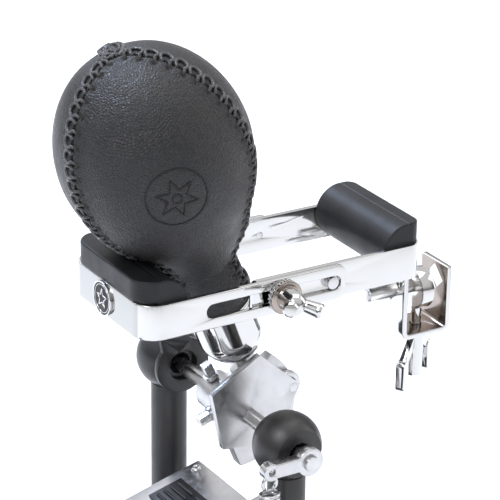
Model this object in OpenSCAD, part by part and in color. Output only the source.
// Bass drum pedal that swings a laced leather maraca between two rubber stop pads.
// +X points towards the drum, +Y to the far side, +Z up. The origin is on the floor
// straight below the middle of the pedal's axle.

/* [Pedal] */
// Height of the axle above the floor
axle_h = 150; // [140:1:160]
// Distance between the two posts, centre to centre
post_gap = 131; // [125:1:140]
// Radius of a post
post_r = 10.5; // [9:0.5:12]
// Radius of the ball shaped bearing housings
housing_r = 19; // [18:0.5:21]
// Distance across the flats of the hexagonal axle
axle_af = 8; // [8:0.1:8.4]
// Thickness of the steel base plate
plate_t = 4; // [3:0.5:6]
// Thickness of the rubber sheet under the base plate
sheet_t = 3; // [2:0.5:4]

/* [Footboard] */
// Distance from the axle back to the heel hinge
heel_x = 232; // [220:1:240]
// Height of the heel hinge pin
heel_z = 16; // [15:0.5:18]
// Width of the footboard
board_w = 84; // [70:1:88]
// Thickness of the footboard
board_t = 7; // [5:0.5:8]

/* [Maraca] */
// Angle at which the maraca leans back at rest
lean = 22.3; // [20:0.1:22.4]
// Distance from the axle to the maraca's own shaft
reach = 17.6; // [17:0.1:19]
// Radius of the round leather head
head_r = 52.6; // [50:0.2:52.6]
// Distance from axle level to the widest part of the head
head_h = 161.7; // [160:0.5:166]
// Height of the head above its widest part
head_top = 61; // [55:0.5:65]
// Depth of the head below its widest part
head_low = 75.7; // [70:0.1:76]
// Radius of the leather neck
neck_r = 17.5; // [15:0.5:18]
// Thickness of the leather
leather_t = 2.5; // [2:0.5:3]

/* [Frame] */
// Length of the stop frame along X when fully open
frame_len = 179; // [175:1:185]
// Width of the stop frame over its outer arms
frame_w = 84; // [80:1:90]
// Height of the flat steel strip
strip_h = 20; // [20:1:22]
// Thickness of the flat steel strip
strip_t = 3; // [2.5:0.5:3.5]
// Height of the underside of the strip above the floor
frame_z = 217; // [215:0.5:219]
// Distance that the frame can be shortened
frame_travel = 38; // [20:1:38]
// Radius of the half round rubber stop pads
pad_r = 16.3; // [15:0.1:16.3]

/* [Rod clamp] */
// Radius of the mounting rod
rod_r = 4; // [3.5:0.1:4]
// Length of the rod that stands out in front of the clamp
rod_free = 17; // [10:1:20]
// Depth of the channel along Y
channel_d = 26.5; // [24:0.5:28]
// Outer width of the channel along X
channel_w = 32.5; // [30:0.5:36]

/* [Hidden] */
$fn = 64;
eps = 0.02;
run_gap = 0.05;
slide_gap = 0.15;

// Levels of the pedal's base
base_z = sheet_t + plate_t;
post_y = post_gap / 2;
housing_half = 13;
bearing_r = 9;
bearing_w = 8;
race_out = 7.6;
race_in = 5.4;
journal_r = 4;
axle_near = -92;
axle_far = 82;

// Frame: outer faces in X, middle of the strip in Z
frame_x0 = -75;
frame_x1 = frame_x0 + frame_len;
frame_y = frame_w / 2;
frame_top = frame_z + strip_h;
strip_mid = frame_z + strip_h / 2;
inner_y = frame_y - strip_t - slide_gap;
front_r = 13;
rear_r = 9;
outer_end = 50.6;
inner_end = -7.2;
slot_x1 = 47.5;
slot_r = 4.2;
wing_x = 10.4;
slot_x0 = wing_x - frame_travel - 9.2;
pin_x = 42.6;
pad_z = frame_z + pad_r;
left_depth = 13;
right_depth = 8.7;
badge_y = 2.4;

// Rod clamp
channel_y = -8;
channel_y0 = channel_y - channel_d / 2;
channel_floor = 169.5;
channel_top = 209.2;
channel_left_top = 234;
channel_bend = 5;
seat_side = 11.5;
rod_z = 196.7;
seat_z = rod_z + seat_side / sqrt(2) - (rod_r + 0.15) * sqrt(2);
eye_x = frame_x1 + 17.8;
eye_t = 7.5;
eye_r = 12.2;
eye_z = rod_z - 1.9;
eye_shank_r = 3.1;
shank_r = 3.9;

// Linkage between the cam and the footboard
link_y = -19.7;
link_t = 4.6;
link_arm = 30;
link_angle = 21.5;
cam_px = link_arm * cos(link_angle);
cam_pz = axle_h + link_arm * sin(link_angle);
board_px = 26;
board_pz = 84;
board_angle = atan2(board_pz - heel_z, board_px + heel_x);
board_reach = norm([board_px + heel_x, board_pz - heel_z]);

// Return spring
spring_x = -24;
spring_y = -87;
spring_r = 6;
spring_top = 143;
spring_bottom = 62;

// Seams of the leather head, as angles about the maraca's shaft
seam_angles = [-168, -48, 72];
panel_angle = 120;

// Builds its children in the maraca's own upright frame, on the axle, at rest
module on_axle() {
    translate([0, 0, axle_h]) rotate([0, -lean, 0]) children();
}

module on_shaft() {
    on_axle() translate([reach, 0, 0]) children();
}

// A cylinder along +Y starting at a point
module rod_y(at, r, len, fn = 64) {
    translate(at) rotate([-90, 0, 0]) cylinder(r = r, h = len, $fn = fn);
}

// A cylinder along +X starting at a point
module rod_x(at, r, len, fn = 64) {
    translate(at) rotate([0, 90, 0]) cylinder(r = r, h = len, $fn = fn);
}

// A slot cut through the strip along Y, from one end centre to the other
module slot_y(x0, x1, z, r, y0, len) {
    rod_y([x0, y0, z], r, len);
    rod_y([x1, y0, z], r, len);
    translate([x0, y0, z - r]) cube([x1 - x0, len, 2 * r]);
}

// A box with its two far upright edges rounded, seen along Y
module round_tongue(x0, x1, y0, z0, z1, t, r) {
    translate([x0, y0, z0]) cube([x1 - x0 - r, t, z1 - z0]);
    translate([x0, y0, z0 + r]) cube([x1 - x0, t, z1 - z0 - 2 * r]);
    rod_y([x1 - r, y0, z0 + r], r, t);
    rod_y([x1 - r, y0, z1 - r], r, t);
}

// A quarter ring of strip, for a bent corner standing on the XY plane
module bend(r, t, h, from) {
    rotate([0, 0, from]) rotate_extrude(angle = 90) translate([r - t, 0]) square([t, h]);
}

// Outline of the base: narrow at the heel, wide under the posts
module base_outline(inset) {
    polygon([[-300 + inset, -46 + inset], [-40, -82 + inset], [30, -82 + inset],
        [84 - inset, -34], [84 - inset, 34], [30, 82 - inset], [-40, 82 - inset],
        [-300 + inset, 46 - inset]]);
}

// Four holes that screw the base to a riser or a case
module base_holes() {
    for (x = [-210, -70], y = [-26, 26])
        translate([x, y, -1]) cylinder(r = 2.65, h = base_z + 2);
}

module base_plate() {
    color("dimgray") difference() {
        translate([0, 0, sheet_t]) linear_extrude(plate_t) base_outline(0);
        base_holes();
    }
}

module base_sheet() {
    color("black") difference() {
        linear_extrude(sheet_t) base_outline(2);
        base_holes();
    }
}

// Fixed plate under the player's heel, with the two ears of the heel hinge
module heel_plate() {
    color("dimgray") difference() {
        union() {
            translate([-298, -44, base_z]) cube([54, 88, 15]);
            for (y = [-46, 39])
                translate([-heel_x - 12, y, base_z]) cube([20, 7, heel_z - base_z + 6]);
        }
        rod_y([-heel_x, -50, heel_z], 3, 100);
    }
}

module heel_pin() {
    color("silver") rod_y([-heel_x, -48, heel_z], 3, 96);
}

// Hollow post on a round foot
module post(side) {
    difference() {
        union() {
            translate([0, side * post_y, base_z]) cylinder(r = 16, h = 6);
            translate([0, side * post_y, base_z]) cylinder(r = post_r, h = axle_h - base_z - 12);
        }
        for (a = [45, 135, 225, 315])
            translate([13.4 * cos(a), side * post_y + 13.4 * sin(a), base_z - 1])
                cylinder(r = 1.6, h = 8);
        translate([0, side * post_y, 0]) cylinder(r = post_r - 2.5, h = axle_h);
        translate([0, side * post_y, axle_h]) sphere(r = housing_r);
    }
}

module near_post() {
    color("dimgray") post(-1);
}

module far_post() {
    color("dimgray") post(1);
}

// Ball cut flat on both sides, bored for a bearing
module housing(side) {
    translate([0, side * post_y, axle_h]) difference() {
        intersection() {
            sphere(r = housing_r, $fn = 96);
            translate([-30, -housing_half, -30]) cube([60, 2 * housing_half, 60]);
        }
        rod_y([0, -bearing_w / 2, 0], bearing_r + eps, bearing_w);
        rod_y([0, -20, 0], race_out - 1, 40);
    }
}

module near_housing() {
    color("dimgray") housing(-1);
}

module far_housing() {
    color("dimgray") housing(1);
}

module race(r_out, r_in) {
    for (side = [-1, 1])
        difference() {
            rod_y([0, side * post_y - bearing_w / 2, axle_h], r_out, bearing_w);
            rod_y([0, side * post_y - bearing_w / 2 - 1, axle_h], r_in, bearing_w + 2);
        }
}

module outer_races() {
    color("silver") race(bearing_r, race_out);
}

module inner_races() {
    color("silver") race(race_in, journal_r);
}

module bearing_balls() {
    pitch = (race_out + race_in) / 2;
    color("silver")
    for (side = [-1, 1], a = [0 : 36 : 324])
        translate([pitch * cos(a), side * post_y, axle_h + pitch * sin(a)])
            sphere(r = (race_out - race_in) / 2 - run_gap, $fn = 24);
}

module post_screws() {
    color("silver")
    for (side = [-1, 1], a = [45, 135, 225, 315])
        translate([13.4 * cos(a), side * post_y + 13.4 * sin(a), base_z]) {
            cylinder(r = 1.6, h = 6);
            translate([0, 0, 6]) cylinder(r = 2.5, h = 2.5, $fn = 32);
        }
}

// Bar that ties the two posts together across the toe
module front_bridge() {
    color("dimgray") translate([-8, -post_y + 16, base_z]) cube([16, 2 * post_y - 32, 12]);
}

// C shaped claw that hooks over the hoop of a bass drum
module hoop_claw() {
    color("dimgray") difference() {
        union() {
            translate([38, -22, base_z]) cube([44, 44, 5]);
            translate([38, -22, base_z]) cube([8, 44, 37]);
            translate([38, -22, base_z + 29]) cube([42, 44, 8]);
        }
        translate([62, 0, base_z + 20]) cylinder(r = 3 + run_gap, h = 20);
    }
}

// Wing screw that clamps the hoop in the claw
module hoop_screw() {
    color("silver") translate([62, 0, 0]) {
        translate([0, 0, base_z + 21]) cylinder(r = 3, h = 27);
        translate([0, 0, base_z + 19]) cylinder(r = 6, h = 3);
        translate([0, 0, base_z + 43]) cylinder(r = 5, h = 8);
        for (side = [-1, 1])
            translate([0, side * 10, base_z + 50]) rotate([0, 90, 0])
                translate([0, 0, -2]) cylinder(r = 6, h = 4);
        translate([-2, -10, base_z + 44]) cube([4, 20, 7]);
    }
}

// Lug on the near post's foot that anchors the spring
module spring_lug() {
    color("dimgray") difference() {
        union() {
            translate([spring_x - 8, spring_y - 7, 34]) cube([16, 14, 5]);
            translate([spring_x - 8, -80, base_z]) cube([16, 5, 34 - base_z + 5]);
        }
        translate([spring_x, spring_y, 30]) cylinder(r = 2.5 + run_gap, h = 12);
    }
}

// Hooked tension rod
module spring_rod() {
    color("silver") {
        translate([spring_x, spring_y, 22]) cylinder(r = 2.5, h = spring_bottom - 24);
        translate([spring_x, spring_y, spring_bottom - 4]) cylinder(r = spring_r - 1, h = 4);
    }
}

module spring_nut() {
    color("silver") difference() {
        translate([spring_x, spring_y, 26]) cylinder(r = 7, h = 7.9, $fn = 48);
        translate([spring_x, spring_y, 25]) cylinder(r = 2.5 + run_gap, h = 10);
    }
}

// Envelope of the coil spring
module return_spring() {
    color("silver") difference() {
        translate([spring_x, spring_y, spring_bottom]) cylinder(r = spring_r, h = spring_top - spring_bottom);
        translate([spring_x, spring_y, spring_bottom + 2])
            cylinder(r = spring_r - 1.6, h = spring_top - spring_bottom - 4);
    }
}

// Plate that carries the stop frame on the far bearing housing
module support_plate() {
    y0 = post_y - housing_half - 4;
    lug_x = -62;
    lug_w = 13;
    color("dimgray") difference() {
        union() {
            rod_y([0, y0, axle_h], 17, 4);
            translate([0, y0 + 4, 0]) rotate([90, 0, 0]) linear_extrude(4)
                polygon([[-13, axle_h + 10], [-15, axle_h + 20], [-49, 199], [lug_x, 210],
                    [lug_x, frame_top], [lug_x + lug_w, frame_top], [lug_x + lug_w, 212],
                    [14, axle_h + 9]]);
            translate([lug_x, frame_y, frame_z + 1]) cube([lug_w, y0 - frame_y + 1, strip_h - 1]);
        }
        rod_y([0, y0 - 5, axle_h], 9, 20);
        for (z = [frame_z + 5, frame_z + 15])
            rod_y([lug_x + 6, frame_y - 5, z], 2, 20);
    }
}

module support_screws() {
    color("silver")
    for (z = [frame_z + 5, frame_z + 15]) {
        rod_y([-56, frame_y - strip_t, z], 2, post_y - housing_half - frame_y + strip_t);
        rod_y([-56, post_y - housing_half, z], 3.6, 2.5);
    }
}

// Bent strip open towards the drum, with a slot in each arm
module front_band() {
    color("lightgray") difference() {
        union() {
            translate([frame_x0, -frame_y + front_r, frame_z])
                cube([strip_t, frame_w - 2 * front_r, strip_h]);
            for (side = [-1, 1]) {
                y0 = side > 0 ? frame_y - strip_t : -frame_y;
                round_tongue(frame_x0 + front_r, outer_end, y0, frame_z, frame_top, strip_t, 5);
                translate([frame_x0 + front_r, side * (frame_y - front_r), frame_z])
                    bend(front_r, strip_t, strip_h, side > 0 ? 90 : 180);
            }
        }
        slot_y(slot_x0 + slot_r, slot_x1 - slot_r, strip_mid, slot_r, -frame_y - 5, frame_w + 10);
        for (z = [frame_z + 5, frame_z + 15])
            rod_y([-56, frame_y - strip_t - 1, z], 2, 10);
    }
}

// Plan of the part of a pad that covers the band: a rounded end of the frame
module pad_plan(x0, depth, half_w, r) {
    translate([x0, -half_w + r]) square([depth, 2 * half_w - 2 * r]);
    translate([x0 + r, -half_w]) square([depth - r, 2 * half_w]);
    for (side = [-1, 1])
        translate([x0 + r, side * (half_w - r)]) circle(r = r);
}

// Half round rubber bar with its flat back against the band's end
module pad(depth, r, half_in, half_out, r_out, r_in) {
    low = frame_z - pad_z;
    difference() {
        intersection() {
            union() {
                rod_y([depth, -half_in, 0], r, 2 * half_in);
                translate([0, -half_out, -r]) cube([depth, 2 * half_out, 2 * r]);
            }
            translate([0, 0, -r - 1]) linear_extrude(2 * r + 2)
                pad_plan(0, depth + r + 1, half_out, r_out);
        }
        translate([-1, -half_out - 1, low - 1]) cube([strip_t + 1, 2 * half_out + 2, strip_h + 1]);
        for (side = [-1, 1])
            translate([-1, side > 0 ? half_in : -half_out - 1, low - 1])
                cube([60, half_out - half_in + 1, strip_h + 1]);
        translate([0, 0, low - 1]) linear_extrude(strip_h + 1) difference() {
            translate([-1, -half_in - 1]) square([r_in + strip_t, 2 * half_in + 2]);
            pad_plan(strip_t, 40, half_in, r_in);
        }
    }
}

// The soft pad is dented where the head rests on it
module left_pad() {
    color("black") difference() {
        translate([frame_x0, 0, pad_z])
            pad(left_depth, pad_r, frame_y - strip_t, frame_y - strip_t + eps,
                front_r - 2, front_r - strip_t);
        on_shaft() rotate_extrude($fn = 96) polygon(concat(form(-2.4), [[0, neck_end]]));
    }
}

module right_pad() {
    color("black") translate([frame_x1, 0, pad_z]) mirror([1, 0, 0])
        pad(right_depth, pad_r - 0.3, inner_y - strip_t, inner_y - strip_t + eps,
            rear_r - 2, rear_r - strip_t);
}

// Round badge on the player's end of the frame
module badge_ring() {
    color("silver") difference() {
        rod_x([frame_x0 - 1.6, badge_y, strip_mid], 10, 1.6);
        rod_x([frame_x0 - 4, badge_y, strip_mid], 9, 5);
    }
}

module badge_disc() {
    color("black") rod_x([frame_x0 - 1.2, badge_y, strip_mid], 9, 1.2);
}

// Bent strip open towards the player, sliding inside the front band
module rear_band() {
    color("lightgray") difference() {
        union() {
            translate([frame_x1 - strip_t, -inner_y + rear_r, frame_z])
                cube([strip_t, 2 * inner_y - 2 * rear_r, strip_h]);
            for (side = [-1, 1]) {
                y0 = side > 0 ? inner_y - strip_t : -inner_y;
                mirror([1, 0, 0]) round_tongue(-(frame_x1 - rear_r), -inner_end, y0,
                    frame_z, frame_top, strip_t, 4);
                translate([frame_x1 - rear_r, side * (inner_y - rear_r), frame_z])
                    bend(rear_r, strip_t, strip_h, side > 0 ? 0 : 270);
            }
        }
        rod_y([wing_x, -60, strip_mid], journal_r, 120);
        rod_y([pin_x, -60, strip_mid], 2, 120);
        for (y = [channel_y - 7, channel_y + 7])
            rod_x([frame_x1 - 10, y, strip_mid], 2, 20);
    }
}

// Shouldered pins that run in the slots
module guide_pins() {
    color("dimgray")
    for (side = [-1, 1]) {
        y_in = side > 0 ? inner_y - strip_t : -inner_y;
        y_out = side > 0 ? inner_y : -frame_y;
        rod_y([pin_x, y_in, strip_mid], 2, strip_t);
        rod_y([pin_x, y_out, strip_mid], 3.4, strip_t + slide_gap);
    }
}

// Nuts welded inside the arms for the wing bolts
module weld_nuts() {
    nut_t = 6;
    color("dimgray")
    for (side = [-1, 1]) {
        y0 = side > 0 ? inner_y - strip_t - nut_t : -inner_y + strip_t;
        difference() {
            rod_y([wing_x, y0, strip_mid], 7, nut_t, 6);
            rod_y([wing_x, y0 - 1, strip_mid], shank_r + run_gap, nut_t + 2);
        }
    }
}

// Channel bent from plate, open at the top, with a diamond seat for a rod in each wall
module clamp_channel() {
    x0 = frame_x1;
    x1 = frame_x1 + channel_w;
    t = strip_t;
    color("lightgray") difference() {
        union() {
            translate([x0, channel_y0, channel_floor + channel_bend])
                cube([t, channel_d, channel_left_top - channel_floor - channel_bend]);
            translate([x1 - t, channel_y0, channel_floor + channel_bend])
                cube([t, channel_d, channel_top - channel_floor - channel_bend]);
            translate([x0 + channel_bend, channel_y0, channel_floor])
                cube([channel_w - 2 * channel_bend, channel_d, t]);
            translate([x0 + channel_bend, channel_y0 + channel_d, channel_floor + channel_bend])
                rotate([90, 0, 0]) bend(channel_bend, t, channel_d, 180);
            translate([x1 - channel_bend, channel_y0 + channel_d, channel_floor + channel_bend])
                rotate([90, 0, 0]) bend(channel_bend, t, channel_d, 270);
        }
        translate([x0 - 1, channel_y, seat_z]) rotate([45, 0, 0])
            translate([0, -seat_side / 2, -seat_side / 2]) cube([channel_w + 2, seat_side, seat_side]);
        translate([eye_x, channel_y, channel_floor - 1]) cylinder(r = eye_shank_r + 0.3, h = t + 2);
        for (y = [channel_y - 7, channel_y + 7])
            rod_x([x0 - 1, y, strip_mid], 2, t + 2);
    }
}

module channel_rivets() {
    color("silver")
    for (y = [channel_y - 7, channel_y + 7]) {
        rod_x([frame_x1 - strip_t, y, strip_mid], 2, 2 * strip_t);
        rod_x([frame_x1 + strip_t, y, strip_mid], 4, 2, 32);
    }
}

// Bolt with a serrated flange, a domed hub and two spread prongs
module wing_bolt() {
    flange_r = 9.8;
    serrations = 24;
    rod_y([0, 0, 0], shank_r, 18);
    rod_y([0, -3, 0], flange_r - 0.8, 3);
    for (i = [0 : serrations - 1])
        rotate([0, i * 360 / serrations, 0])
            rod_y([flange_r - 1.3, -3, 0], 1.1, 3, 16);
    rod_y([0, -12, 0], 6.6, 9);
    translate([0, -12, 0]) sphere(r = 6.6);
    for (side = [-1, 1]) {
        translate([side * 3, -12, 0]) rotate([90, 0, 0]) rotate([0, side * 32, 0]) {
            cylinder(r1 = 3.2, r2 = 4.3, h = 13);
            translate([0, 0, 13]) cylinder(r1 = 4.3, r2 = 3.3, h = 1.2);
        }
    }
}

module near_wing_bolt() {
    color("silver") translate([wing_x, -frame_y - slide_gap, strip_mid]) rotate([0, 15, 0]) wing_bolt();
}

module far_wing_bolt() {
    color("silver") translate([wing_x, frame_y + slide_gap, strip_mid]) rotate([0, -15, 180]) wing_bolt();
}

// Eye that pulls the rod down into the diamond seats
module eye_bolt() {
    color("silver") difference() {
        union() {
            rod_x([eye_x - eye_t / 2, channel_y, eye_z], eye_r, eye_t);
            translate([eye_x, channel_y, channel_floor - 20]) cylinder(r = eye_shank_r, h = 40);
        }
        rod_x([eye_x - 10, channel_y, rod_z], rod_r, 9 + eye_t / 2);
    }
}

module mount_rod() {
    len = eye_x - frame_x1 + 0.5;
    color("silver") {
        rod_x([frame_x1 - rod_free + 1, channel_y, rod_z], rod_r, rod_free - 1.5);
        rod_x([frame_x1 - 0.5, channel_y, rod_z], rod_r - run_gap, len);
        translate([frame_x1 - rod_free, channel_y, rod_z]) rotate([0, 90, 0])
            cylinder(r1 = rod_r - 1, r2 = rod_r, h = 1);
    }
}

// Wing nut under the channel, its two ears hanging down and out
module clamp_wing_nut() {
    top = channel_floor - slide_gap;
    color("silver") translate([eye_x, channel_y, 0]) rotate([0, 0, 33]) difference() {
        union() {
            translate([0, 0, top - 29]) cylinder(r1 = 4.6, r2 = 5.2, h = 29);
            for (side = [-1, 1]) {
                for (z = [139.5, 151.5])
                    translate([side * 17.5, 2.5, z]) rotate([90, 0, 0]) cylinder(r = 3.5, h = 5);
                translate([side * 17.5 - 3.5, -2.5, 139.5]) cube([7, 5, 12]);
                translate([0, -1.9, 166]) rotate([0, side * 129, 0])
                    translate([-2.8, 0, 0]) cube([5.6, 3.8, 21]);
            }
        }
        translate([0, 0, 148.5]) cylinder(r = eye_shank_r + run_gap, h = 40);
    }
}

module hex_axle() {
    hex_r = axle_af / sqrt(3);
    hex_half = 50;
    color("silver") {
        rod_y([0, -hex_half, axle_h], hex_r, 2 * hex_half, 6);
        rod_y([0, axle_near, axle_h], journal_r, -axle_near - hex_half);
        rod_y([0, hex_half, axle_h], journal_r, axle_far - hex_half);
    }
}

module hex_hole(y0, y1) {
    rod_y([0, y0, axle_h], axle_af / sqrt(3), y1 - y0, 6);
}

// A hole for a drum key screw, along +Z from the axle's middle
module key_hole(y, angle, from, len) {
    translate([0, y, axle_h]) rotate([0, angle, 0])
        translate([0, 0, from]) cylinder(r = 2.2 + run_gap, h = len);
}

hub_key_y = 8;
hub_key_angle = -24;
cam_key_y = -4.2;
cam_key_angle = -112;

// Clamp on the axle with a socket for the maraca's shaft
module hub() {
    color("gainsboro") difference() {
        union() {
            rod_y([0, -9, axle_h], 11.5, 23);
            on_shaft() translate([0, 0, -9]) cylinder(r = 8.5, h = 23);
            on_axle() translate([0, -6, -8]) cube([reach, 12, 18]);
        }
        hex_hole(-20, 20);
        on_shaft() translate([0, 0, -20]) cylinder(r = 4, h = 50);
        key_hole(hub_key_y, hub_key_angle, 5, 20);
        key_hole(cam_key_y, cam_key_angle, 5, 20);
        on_shaft() translate([0, 0, 2]) rotate([0, 90, 0]) cylinder(r = 2.2 + run_gap, h = 20);
    }
}

// Screw with a square head for a drum key
module key_screw(from, to) {
    translate([0, 0, from]) cylinder(r = 2.2, h = to - from);
    translate([0, 0, to]) cylinder(r = 4.4, h = 2.4, $fn = 32);
    translate([-2.6, -2.6, to + 2.4]) cube([5.2, 5.2, 7]);
}

module hub_key() {
    color("silver") translate([0, hub_key_y, axle_h]) rotate([0, hub_key_angle, 0]) key_screw(5.2, 12);
}

module cam_key() {
    color("silver") translate([0, cam_key_y, axle_h]) rotate([0, cam_key_angle, 0]) key_screw(5.2, 12);
}

module shaft_key() {
    color("silver") on_shaft() translate([0, 0, 2]) rotate([0, 90, 0]) key_screw(4.2, 9);
}

// Fan shaped cam with a round rim
module cam_fan() {
    color("gainsboro") difference() {
        union() {
            rod_y([0, -17, axle_h], 14, 7.8);
            intersection() {
                rod_y([0, -17, axle_h], 35, 7.5, 128);
                translate([0, -9.5, axle_h]) rotate([90, 0, 0]) linear_extrude(7.5)
                    polygon([[-8, 11], [2, 18], [26, 33.3], [50, 50], [50, -50], [6, -50], [-11, -8]]);
            }
        }
        hex_hole(-20, 0);
        rod_y([cam_px, -20, cam_pz], 2.5, 12);
    }
}

// Pentagonal cheek plate on the near side of the drive link
module cam_plate() {
    color("gainsboro") difference() {
        translate([3, -26.6, axle_h + 6]) rotate([-90, 0, 0]) rotate([0, 0, -12])
            cylinder(r = 30, h = 4.2, $fn = 5);
        hex_hole(-30, -20);
        rod_y([cam_px, -30, cam_pz], 2.5, 12);
    }
}

module cam_pin() {
    color("silver") rod_y([cam_px, -26.6, cam_pz], 2.5, 17);
}

// Lever on the near end of the axle, pulled by the return spring
module spring_rocker() {
    color("silver") difference() {
        union() {
            rod_y([0, -90, axle_h], 8, 6);
            translate([spring_x, -90, axle_h - 4]) cube([-spring_x, 6, 8]);
            rod_y([spring_x, -90, axle_h], 5, 6);
        }
        rod_y([0, -95, axle_h], journal_r, 20);
        rod_y([spring_x, -95, axle_h], 2, 20);
    }
}

module axle_cap() {
    color("silver") difference() {
        rod_y([0, axle_far - 3, axle_h], 6.5, 6);
        rod_y([0, axle_far - 4, axle_h], journal_r, 4);
    }
}

module maraca_shaft() {
    color("silver") on_shaft() translate([0, 0, -14]) cylinder(r = 4 - run_gap, h = 84);
}

ferrule_mid = 37.6;
ferrule_r = 18.5;
ferrule_top = 58;
neck_end = 46;

// Chrome cup that closes the bottom of the neck
module ferrule() {
    color("lightgray") on_shaft() difference() {
        union() {
            translate([0, 0, ferrule_mid]) sphere(r = ferrule_r, $fn = 96);
            translate([0, 0, ferrule_mid]) cylinder(r = ferrule_r, h = ferrule_top - ferrule_mid, $fn = 96);
            translate([0, 0, ferrule_top - 2.4]) cylinder(r = ferrule_r + 0.5, h = 2.4, $fn = 96);
        }
        translate([0, 0, neck_end]) cylinder(r = neck_r, h = 30, $fn = 96);
        translate([0, 0, 0]) cylinder(r = 4 - run_gap, h = 60);
    }
}

module neck_plug() {
    color("tan") on_shaft() difference() {
        translate([0, 0, neck_end]) cylinder(r = neck_r - leather_t, h = 34);
        translate([0, 0, neck_end - 1]) cylinder(r = 4 - run_gap, h = 70 - neck_end + 1);
    }
}

// Outline of the leather form, shrunk by an inset: neck, pear shaped lower half, dome
function taper(u) = pow(cos(90 * u), 1.2);
function form(inset) = concat(
    [[neck_r - inset, neck_end]],
    [for (i = [0 : 12]) let (u = 1 - i / 12)
        [neck_r - inset + (head_r - neck_r) * taper(u), head_h - head_low * u]],
    [for (a = [9 : 9 : 81]) [(head_r - inset) * cos(a), head_h + (head_top - inset) * sin(a)]],
    [[0, head_h + head_top - inset]]);
function reversed(p) = [for (i = [len(p) - 1 : -1 : 0]) p[i]];

// One of the three leather panels, from its first seam
module panel(i) {
    on_shaft() rotate([0, 0, seam_angles[i]]) rotate_extrude(angle = panel_angle, $fn = 96)
        polygon(concat(form(0), reversed(form(leather_t))));
}

module front_panel() {
    color("black") panel(0);
}

module drum_side_panel() {
    color("black") panel(1);
}

module back_panel() {
    color("black") panel(2);
}

// Raised line of lacing along each seam
lace_w = 5;
lace_t = 1.4;
module seam_lacing() {
    color("black") on_shaft()
    for (a = seam_angles)
        rotate([0, 0, a - lace_w / 2]) rotate_extrude(angle = lace_w, $fn = 96)
            polygon(concat([for (p = form(0)) if (p[1] > ferrule_top) p],
                reversed([for (p = form(-lace_t)) if (p[1] > ferrule_top) p])));
}

// Loose pellets lying in the bottom of the head
module pellets() {
    color("tan") on_shaft()
    for (ring = [0 : 2], k = [0 : 5 + 3 * ring]) {
        a = k * 360 / (6 + 3 * ring);
        translate([(8 + 7 * ring) * cos(a), (8 + 7 * ring) * sin(a), 108 + 9 * ring])
            sphere(r = 3, $fn = 24);
    }
}

module on_board() {
    translate([-heel_x, 0, heel_z]) rotate([0, -board_angle, 0]) children();
}

// Footboard with its heel tube and the two ears of the toe clevis
module footboard() {
    color("gainsboro") on_board() difference() {
        union() {
            rod_y([0, -38, 0], 7, 76);
            translate([0, -38, 0]) cube([14, 76, 7]);
            translate([12, -board_w / 2, 4]) cube([238, board_w, board_t]);
            for (y = [-28.5, -16.9])
                translate([240, y, -6]) cube([34, 5.6, 14]);
            for (y = [-38, 32])
                translate([12, y, -4]) cube([230, 6, 9]);
        }
        rod_y([0, -45, 0], 3 + run_gap, 90);
        rod_y([board_reach, -35, 0], 2.5, 40);
    }
}

// Rubber grip set on the footboard
module board_grip() {
    color("black") on_board()
    for (i = [0 : 5])
        translate([40 + i * 34, -board_w / 2 + 10, 4 + board_t]) cube([22, board_w - 20, 2]);
}

module board_pin() {
    color("silver") on_board() rod_y([board_reach, -29.5, 0], 2.5, 19.2);
}

// Rigid link from the footboard's toe to the cam
module drive_link() {
    len = norm([cam_px - board_px, cam_pz - board_pz]);
    tilt = atan2(cam_px - board_px, cam_pz - board_pz);
    y0 = link_y - link_t / 2;
    color("silver") translate([board_px, 0, board_pz]) rotate([0, tilt, 0]) difference() {
        union() {
            rod_y([0, y0, 0], 6, link_t);
            rod_y([0, y0, len], 7.5, link_t);
            translate([-4, y0, 0]) cube([8, link_t, len]);
        }
        rod_y([0, -40, 0], 2.5 + run_gap, 40);
        rod_y([0, -40, len], 4, 40);
    }
}

base_plate();
base_sheet();
heel_plate();
heel_pin();
near_post();
far_post();
near_housing();
far_housing();
outer_races();
bearing_balls();
post_screws();
front_bridge();
hoop_claw();
hoop_screw();
spring_lug();
spring_rod();
spring_nut();
return_spring();
support_plate();
support_screws();
front_band();
left_pad();
badge_ring();
badge_disc();
rear_band();
right_pad();
guide_pins();
weld_nuts();
clamp_channel();
channel_rivets();
near_wing_bolt();
far_wing_bolt();
eye_bolt();
mount_rod();
clamp_wing_nut();
hex_axle();
inner_races();
hub();
cam_fan();
cam_plate();
cam_pin();
spring_rocker();
axle_cap();
hub_key();
cam_key();
shaft_key();
maraca_shaft();
ferrule();
neck_plug();
front_panel();
drum_side_panel();
back_panel();
seam_lacing();
pellets();
footboard();
board_grip();
board_pin();
drive_link();
